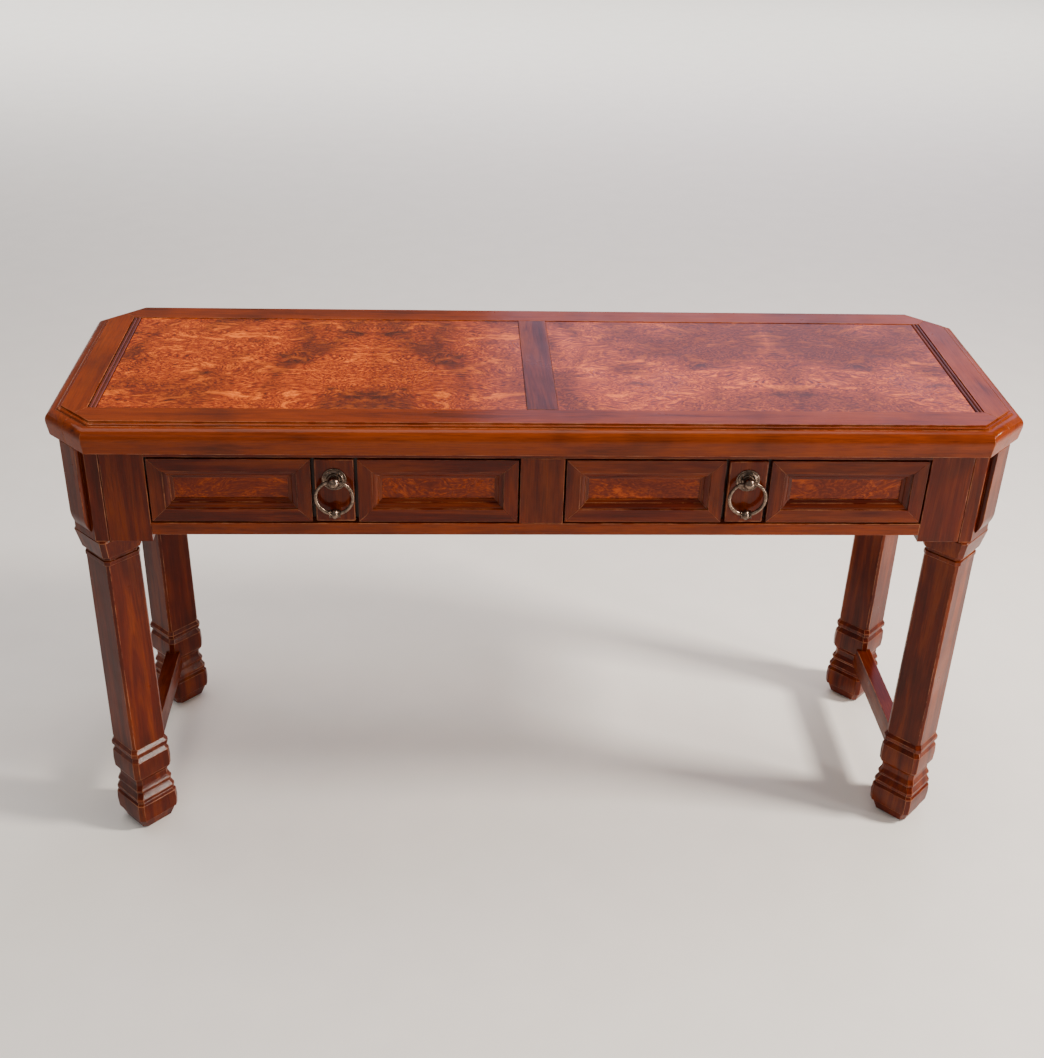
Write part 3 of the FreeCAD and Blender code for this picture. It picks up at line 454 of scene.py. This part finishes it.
def ease(piece, width, least=35):
    """Takes the edges sharper than least degrees off a closed piece, in its second material."""
    select_only(piece)
    bevel = piece.modifiers.new("Easing", "BEVEL")
    bevel.width = width
    bevel.segments = 2
    bevel.limit_method = "ANGLE"
    bevel.angle_limit = math.radians(least)
    bevel.use_clamp_overlap = False
    bevel.material = 1
    bpy.ops.object.modifier_apply(modifier=bevel.name)
    bpy.ops.object.shade_smooth_by_angle(angle=math.radians(least))
    # the broad faces stay flat, and only the eased edges turn the light
    flats = piece.modifiers.new("Flats", "WEIGHTED_NORMAL")
    flats.keep_sharp = True
    bpy.ops.object.modifier_apply(modifier=flats.name)


def body_of(node):
    """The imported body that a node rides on."""
    return frame["nodes"][node]["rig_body"]


def stand_for(piece, node):
    """Puts a finished piece in a node's stead."""
    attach(piece, body_of(node))
    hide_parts(node)


def eased_board(node, width, finishes, least=35):
    """A copy of a cut board with its edges eased, in the plain finish and the edge finish, lighter from wear
    and a painted highlight.
    """
    piece = copied(f"{node}.eased", frame["nodes"][node].data)
    piece.data.materials.clear()
    for finish in finishes:
        piece.data.materials.append(finish)
    close_up(piece)
    ease(piece, width, least)
    stand_for(piece, node)


def finish_node(node, finish):
    """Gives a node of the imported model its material."""
    for place in frame["nodes"][node].material_slots:
        place.material = finish


def stick_of(face, low, high):
    """Which of a mitred frame's four sticks a face belongs to, from just inside the stick."""
    inside = face.center - face.normal * 0.3 * MM
    reaches = (inside.x - low.x, high.x - inside.x, inside.z - low.z, high.z - inside.z)
    return reaches.index(min(reaches))


def mitred_moulding(node, width, across, upright):
    """A drawer's mitred moulding, each stick with its own grain and eased on its own."""
    low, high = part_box(node)
    source = frame["nodes"][node].data
    owners = [stick_of(face, low, high) for face in source.polygons]
    sticks = []
    for stick, finishes in enumerate((upright, upright, across, across)):
        piece = copied(f"{node}.stick_{stick}", source)
        piece.data.materials.clear()
        for finish in finishes:
            piece.data.materials.append(finish)
        select_only(piece)
        bpy.ops.object.mode_set(mode="EDIT")
        bpy.ops.mesh.select_mode(type="FACE")
        bpy.ops.mesh.select_all(action="DESELECT")
        bpy.ops.object.mode_set(mode="OBJECT")
        for face, owner in zip(piece.data.polygons, owners):
            face.select = owner != stick
        bpy.ops.object.mode_set(mode="EDIT")
        bpy.ops.mesh.delete(type="FACE")
        bpy.ops.mesh.select_mode(type="VERT")
        bpy.ops.object.mode_set(mode="OBJECT")
        close_up(piece)
        ease(piece, width)
        sticks.append(piece)
    select_only(sticks[0])
    for stick in sticks[1:]:
        stick.select_set(True)
    bpy.ops.object.join()
    moulding = bpy.context.view_layer.objects.active
    moulding.name = f"{node}.mitred"
    stand_for(moulding, node)


def turned(name, rings, segments=64):
    """A piece turned about +Z from (radius, height) rings in millimetres, the lowest first."""
    bpy.ops.object.select_all(action="DESELECT")
    radius, height = rings[0]
    bpy.ops.mesh.primitive_circle_add(
        vertices=segments, radius=radius * MM, fill_type="NGON", location=(0, 0, height * MM)
    )
    piece = bpy.context.object
    piece.name = name
    bpy.ops.object.mode_set(mode="EDIT")
    bpy.ops.mesh.select_all(action="SELECT")
    for next_radius, next_height in rings[1:]:
        bpy.ops.mesh.extrude_region_move(
            TRANSFORM_OT_translate={"value": (0, 0, (next_height - height) * MM)}
        )
        share = next_radius / radius
        bpy.ops.transform.resize(value=(share, share, 1), center_override=(0, 0, next_height * MM))
        radius, height = next_radius, next_height
    bpy.ops.mesh.select_all(action="SELECT")
    bpy.ops.mesh.remove_doubles(threshold=0.000005)
    bpy.ops.mesh.normals_make_consistent(inside=False)
    bpy.ops.object.mode_set(mode="OBJECT")
    bpy.ops.object.shade_smooth_by_angle(angle=math.radians(50))
    settle(piece)
    return piece


def stood(piece, turn, place):
    """Turns a piece made about +Z and puts it at its place."""
    piece.rotation_euler = turn
    piece.location = place
    settle(piece)
    return piece


# ---- one operator for each group of pieces ----


class TABLE_OT_stage(bpy.types.Operator):
    """Lays the pale floor and sets the studio lights and the camera"""

    bl_idname = "table.stage"
    bl_label = "Stage"

    def execute(self, context):
        lights = context.scene.table_lights
        bpy.ops.object.select_all(action="DESELECT")
        bpy.ops.mesh.primitive_plane_add(size=40, location=(0, 0, 0))
        floor = context.object
        floor.name = "studio_floor"
        floor.data.materials.append(painted_floor("Painted floor", context.scene.table_tones.floor))

        for name, place, aim, width, depth, power, tint, spread in (
            ("key_light", (2.7, -0.7, 2.5), (0, 0, 0.4), 0.55, 0.55, lights.key, "FFF3E4", 180),
            ("side_light", (2.5, -1.4, 0.55), (-0.6, -0.15, 0.15), 0.3, 0.6, lights.side, "FFF6EA", 180),
            ("sky_light", (-0.2, 0.7, 3.0), (0, 0.1, 0.7), 3.6, 1.8, lights.sky, "FFF4E8", 180),
            ("window_light", (1.9, 4.8, 2.9), (0.2, 0, 0.7), 3.8, 2.0, lights.window, "D8C0E8", 180),
            ("fill_light", (-1.6, -3.4, 2.8), (0, 0, 0.5), 3.0, 2.0, lights.fill, "FFF6EC", 180),
            ("backdrop_light", (0, 6.5, 6.5), (0, 6.5, 0), 12.0, 4.0, lights.backdrop, "FFFAF4", 60),
        ):
            bpy.ops.object.light_add(type="AREA", location=place)
            lamp = context.object
            lamp.name = name
            lamp.data.shape = "RECTANGLE"
            lamp.data.size = width
            lamp.data.size_y = depth
            lamp.data.energy = power
            lamp.data.spread = math.radians(spread)
            lamp.data.color = linear(tint)[:3]
            lamp.rotation_euler = (Vector(aim) - Vector(place)).to_track_quat("-Z", "Y").to_euler()

        room = bpy.data.worlds.new("Studio room")
        context.scene.world = room
        room.use_nodes = True
        room.node_tree.nodes.clear()
        glow = add(room.node_tree, "Background", {"Color": linear("F4F2F0"), "Strength": lights.room})
        end = room.node_tree.nodes.new("ShaderNodeOutputWorld")
        room.node_tree.links.new(glow, end.inputs["Surface"])

        # a standing viewer, a little left of the middle, looking down at the top
        turn, tilt, roll = 0.0573, -0.5303, 0.0305
        ahead = Vector((math.sin(turn) * math.cos(tilt), math.cos(turn) * math.cos(tilt), math.sin(tilt)))
        level = Vector((math.cos(turn), -math.sin(turn), 0))
        above = level.cross(ahead)
        right = level * math.cos(roll) + above * math.sin(roll)
        up = above * math.cos(roll) - level * math.sin(roll)
        bpy.ops.object.camera_add()
        camera = context.object
        camera.name = "viewer"
        camera.matrix_world = Matrix.Translation((-0.1253, -1.9289, 1.5784)) @ Matrix(
            (right, up, -ahead)
        ).transposed().to_4x4()
        camera.data.sensor_fit = "VERTICAL"
        camera.data.sensor_height = 36
        camera.data.lens = 47.6371
        context.scene.camera = camera
        return {"FINISHED"}


class TABLE_OT_top(bpy.types.Operator):
    """Eases and finishes the top: its border, divider, veneered panels and reeded strips"""

    bl_idname = "table.top"
    bl_label = "Top"

    def execute(self, context):
        tones = context.scene.table_tones
        easing = context.scene.table_easing
        along = {"front": (0.0, 0.0, 0.0), "back": (3.1, 1.7, 0.4)}
        for end in ENDS:
            wood = case_wood(f"top {end}", X, along[end], tones.top_mid, 0.6)
            eased_board(f"top_{end}_board", easing.top, wood)
        across = {"left": (1.3, 2.2, 0.9), "right": (5.2, 0.8, 2.3)}
        for side in SIDES:
            wood = case_wood(f"top {side}", Y, across[side], tones.top_mid, 0.5)
            eased_board(f"top_{side}_board", easing.top, wood)
        dark = case_wood("divider", Y, (7.4, 3.3, 1.1), tones.inlay_mid)
        eased_board("top_divider", easing.panel, dark)
        reeds = case_wood("reeds", Y, (9.1, 4.2, 0.7), tones.inlay_mid)
        for side in SIDES:
            eased_board(f"reeded_strip_{side}", easing.panel, reeds)
        for side, joint, shift in (("left", 0.62, (0.3, 0.9, 0.0)), ("right", 0.58, (2.7, 4.4, 0.0))):
            low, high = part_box(f"burl_panel_{side}")
            leaf_joint = low.x + (high.x - low.x) * joint
            veneer = burl_veneer(f"Burl veneer {side}", leaf_joint, shift,
                                 tones.burl_dark, tones.burl_mid, tones.burl_light)
            eased_board(f"burl_panel_{side}", easing.panel, (veneer, veneer))
        return {"FINISHED"}


class TABLE_OT_legs(bpy.types.Operator):
    """Eases and finishes the legs, their corner pilasters and the stretchers"""

    bl_idname = "table.legs"
    bl_label = "Legs"

    def execute(self, context):
        width = context.scene.table_easing.board
        for i, (end, side) in enumerate((e, s) for e in ENDS for s in SIDES):
            wood = case_wood(f"leg {end} {side}", Z, (i * 2.3, i * 1.1, i * 0.7))
            # the foot's slopes stay crisp, so they are eased from a lower angle
            eased_board(f"leg_{end}_{side}", width * 0.6, wood, 21)
            eased_board(f"pilaster_{end}_{side}", width, wood)
        for i, side in enumerate(SIDES):
            wood = case_wood(f"stretcher {side}", Y, (i * 1.9, 4.0, 1.0))
            eased_board(f"side_stretcher_{side}", width, wood)
        return {"FINISHED"}


class TABLE_OT_case(bpy.types.Operator):
    """Eases and finishes the rails, stiles and aprons, and finishes the wood inside"""

    bl_idname = "table.case"
    bl_label = "Case"

    def execute(self, context):
        tones = context.scene.table_tones
        width = context.scene.table_easing.board
        rails = case_wood("rails", X, (0.4, 6.0, 0.2))
        low_rail = case_wood("low rail", X, (0.4, 6.0, 0.2), tones.top_mid)
        for node, wood in (("front_top_rail", rails), ("front_bottom_rail", low_rail), ("back_apron", rails)):
            eased_board(node, width, wood)
        stiles = case_wood("stiles", Z, (3.0, 7.0, 0.9))
        for node in ("front_stile_left", "front_stile_right", "centre_stile"):
            eased_board(node, width, stiles)
        for i, side in enumerate(SIDES):
            wood = case_wood(f"side apron {side}", Y, (i * 4.0, 8.0, 2.0))
            eased_board(f"side_apron_{side}", width, wood)
        deep = plain_wood("Poplar front to back", Y, (0.2, 0.5, 0.1), tones.plain_dark, tones.plain_mid)
        for node in ("centre_runner", "side_runner_left", "side_runner_right", "centre_kicker"):
            finish_node(node, deep)
        upright = plain_wood("Poplar upright", Z, (1.2, 2.5, 0.6), tones.plain_dark, tones.plain_mid)
        finish_node("glue_blocks", upright)
        zinc = zinc_plated_steel("Zinc-plated steel", tones.zinc)
        for node in ("top_screws", "floor_glides", "pull_left_nut", "pull_right_nut"):
            finish_node(node, zinc)
        return {"FINISHED"}


class TABLE_OT_drawers(bpy.types.Operator):
    """Eases and finishes the drawers' fronts and finishes the boxes behind them"""

    bl_idname = "table.drawers"
    bl_label = "Drawers"

    def execute(self, context):
        tones = context.scene.table_tones
        easing = context.scene.table_easing
        for i, side in enumerate(SIDES):
            board = case_wood(f"drawer {side}", X, (i * 2.9, 9.0, 3.0))
            low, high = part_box(f"drawer_{side}_centre_pad")
            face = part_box(f"drawer_{side}_front_board")[0].y + easing.moulding
            # the painted gap shade runs a little way under the mouldings
            gap_shade = 8.2 * MM
            shade_gap_place = ((low.x + high.x) / 2, (high.x - low.x) / 2 + gap_shade, face)
            field = burl_veneer(f"Figured veneer drawer {side}", high.x + 1.0, (i * 2.9, 9.5, 3.3),
                                tones.stain_mid, tones.field_mid, tones.field_light, shade_gap_place)
            upright = case_wood(f"drawer {side} upright", Z, (i * 3.7, 10.0, 4.0))
            eased_board(f"drawer_{side}_front_board", easing.moulding, (field, field))
            eased_board(f"drawer_{side}_centre_pad", easing.pad, upright)
            for part in SIDES:
                mitred_moulding(f"drawer_{side}_frame_{part}", easing.moulding, board, upright)
            plain = tones.plain_dark, tones.plain_mid
            lengthwise = plain_wood(f"Poplar drawer {side} sides", Y, (i * 1.5, 0.3, 0.8), *plain)
            for node in ("side_left", "side_right"):
                finish_node(f"drawer_{side}_{node}", lengthwise)
            crosswise = plain_wood(f"Poplar drawer {side} back", X, (i * 2.5, 1.3, 0.4), *plain)
            for node in ("back", "bottom"):
                finish_node(f"drawer_{side}_{node}", crosswise)
        return {"FINISHED"}


class TABLE_OT_pulls(bpy.types.Operator):
    """Makes the ring pulls: a dished plate, a knob and a ring weighted by a barrel"""

    bl_idname = "table.pulls"
    bl_label = "Ring pulls"

    def execute(self, context):
        tones = context.scene.table_tones
        sizes = context.scene.pull_sizes
        brass = antique_brass("Antiqued brass", tones.patina, tones.metal)
        first = SIDES[0]
        plate = self.plate(first)
        knob = self.knob(first)
        ring = self.ring(first, sizes)
        for made, part in ((plate, "plate"), (knob, "knob"), (ring, "ring")):
            made.data.materials.clear()
            made.data.materials.append(brass)
            for side in SIDES:
                node = f"pull_{side}_{part}"
                piece = made if side == first else copied(f"{node}.cast", made.data)
                if side != first:
                    step = self.middle(node) - self.middle(f"pull_{first}_{part}")
                    piece.location = (step, 0, 0)
                    settle(piece)
                stand_for(piece, node)
        return {"FINISHED"}

    @staticmethod
    def middle(node):
        """The x of a node's middle."""
        low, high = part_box(node)
        return (low.x + high.x) / 2

    def plate(self, side):
        """The round plate: a rolled rim, a dish and two raised rings about the knob's foot."""
        node = f"pull_{side}_plate"
        low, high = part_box(node)
        rim = (high.x - low.x) / 2 / MM
        rings = [
            (rim - 0.4, 0), (rim, 0.35), (rim, 0.9), (rim - 0.35, 1.45), (rim - 1.0, 1.75), (rim - 1.7, 1.6),
            (rim - 2.3, 1.1), (rim - 3.0, 0.9), (rim - 3.8, 1.0), (rim - 4.4, 1.7), (rim - 5.0, 2.5),
            (rim - 5.8, 2.9), (rim - 6.7, 2.75), (rim - 7.4, 2.1), (rim - 8.2, 1.7), (rim - 9.0, 1.85),
            (rim - 9.6, 2.3), (rim - 10.4, 2.45), (rim - 11.1, 2.1), (rim - 12.0, 1.8), (4.0, 1.8),
        ]
        return stood(turned(f"{node}.cast", rings), (math.pi / 2, 0, 0),
                     ((low.x + high.x) / 2, high.y, (low.z + high.z) / 2))

    def knob(self, side):
        """The knob on its neck, with the stem behind it."""
        node = f"pull_{side}_knob"
        low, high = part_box(node)
        back_of_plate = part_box(f"pull_{side}_plate")[1].y
        radius = (high.z - low.z) / 2 / MM
        tail = (back_of_plate - high.y) / MM
        reach = (back_of_plate - low.y) / MM - radius
        stem = (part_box(f"pull_{side}_nut")[1].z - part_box(f"pull_{side}_nut")[0].z) / 4 / MM
        rings = [(stem, tail), (stem, 1.7), (5.6, 1.75), (5.6, 2.1), (4.4, 2.6)]
        start = -60
        rings += [
            (radius * math.cos(math.radians(a)), reach + radius * math.sin(math.radians(a)))
            for a in range(start, 90, 10)
        ]
        rings.append((0.01, reach + radius))
        return stood(turned(f"{node}.cast", rings), (math.pi / 2, 0, 0),
                     ((low.x + high.x) / 2, back_of_plate, (low.z + high.z) / 2))

    def ring(self, side, sizes):
        """The ring: a hoop drawn flat where it runs through the knob, and a barrel between discs."""
        node = f"pull_{side}_ring"
        low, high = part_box(node)
        pin_z = sum(corner.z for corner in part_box(f"pull_{side}_knob")) / 2
        centre = Vector(((low.x + high.x) / 2, (low.y + high.y) / 2, 0))
        hoop = (high.x - low.x) / 2 - 2.85 * MM
        barrel_depth = (high.y - low.y) / 2
        centre.z = low.z + barrel_depth + hoop
        bpy.ops.object.select_all(action="DESELECT")
        bpy.ops.mesh.primitive_torus_add(
            major_segments=120, minor_segments=20, major_radius=hoop, minor_radius=sizes.wire,
            location=centre, rotation=(math.pi / 2, 0, 0),
        )
        ring = bpy.context.object
        ring.name = f"{node}.cast"
        settle(ring)
        # the wire thickens by steps on its way down
        steps = 8
        for step in range(1, steps + 1):
            level = centre.z + hoop * (1 - 2 * step / (steps + 1))
            select_points(ring, lambda point: point.z < level)
            bpy.ops.transform.shrink_fatten(value=sizes.swelling / steps)
            bpy.ops.object.mode_set(mode="OBJECT")
        # the arc above the knob's middle goes, and the two ends are joined straight through the knob
        opening = math.acos((pin_z - centre.z) / hoop)
        select_points(ring, lambda p: abs(math.atan2(p.x - centre.x, p.z - centre.z)) < opening)
        bpy.ops.mesh.delete(type="VERT")
        bpy.ops.mesh.select_all(action="DESELECT")
        bpy.ops.mesh.select_non_manifold()
        bpy.ops.mesh.bridge_edge_loops()
        bpy.ops.mesh.select_all(action="SELECT")
        bpy.ops.mesh.normals_make_consistent(inside=False)
        bpy.ops.object.mode_set(mode="OBJECT")
        bpy.ops.object.shade_smooth_by_angle(angle=math.radians(60))
        barrel, collar = sizes.barrel / MM, sizes.collar / MM
        half = [
            (collar - 1.2, 7.6), (collar - 0.3, 7.4), (collar, 7.0), (collar - 0.2, 6.5), (collar - 1.1, 6.2),
            (collar - 1.1, 6.0), (collar - 0.1, 5.7), (collar + 0.2, 5.3), (collar - 0.1, 4.9),
            (collar - 0.9, 4.6), (collar - 0.8, 4.3), (barrel - 1.3, 3.2), (barrel - 0.5, 2.0), (barrel, 0.6),
        ]
        rings = [(radius, -height) for radius, height in half] + [(r, h) for r, h in reversed(half)]
        weight = stood(turned(f"{node}.barrel", rings, 48), (0, math.pi / 2, 0),
                       (centre.x, centre.y, centre.z - hoop))
        select_only(ring)
        weight.select_set(True)
        bpy.ops.object.join()
        return ring


class TABLE_PT_sidebar(bpy.types.Panel):
    """The table's steps and what can be changed in them"""

    bl_idname = "TABLE_PT_sidebar"
    bl_label = "Side table"
    bl_space_type = "VIEW_3D"
    bl_region_type = "UI"
    bl_category = "Table"

    def draw(self, context):
        for group in GROUPS:
            settings = getattr(context.scene, group)
            box = self.layout.box()
            for name in settings.bl_rna.properties.keys():
                if name not in ("rna_type", "name"):
                    box.prop(settings, name)
        for step in STEPS:
            self.layout.operator(step.bl_idname)


STEPS = (TABLE_OT_stage, TABLE_OT_top, TABLE_OT_legs, TABLE_OT_case, TABLE_OT_drawers, TABLE_OT_pulls)
GROUPS = {
    "table_tones": TableTones,
    "table_easing": TableEasing,
    "pull_sizes": PullSizes,
    "table_lights": StageLights,
}


def register():
    for kind in (*GROUPS.values(), *STEPS, TABLE_PT_sidebar):
        bpy.utils.register_class(kind)
    for name, kind in GROUPS.items():
        setattr(bpy.types.Scene, name, PointerProperty(type=kind))


def unregister():
    for name in GROUPS:
        delattr(bpy.types.Scene, name)
    for kind in (TABLE_PT_sidebar, *reversed(STEPS), *GROUPS.values()):
        bpy.utils.unregister_class(kind)


def main():
    """Registers the add-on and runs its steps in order."""
    register()
    bpy.ops.object.select_all(action="DESELECT")
    for step in STEPS:
        group, name = step.bl_idname.split(".")
        getattr(getattr(bpy.ops, group), name)()


if __name__ == "__main__":
    main()
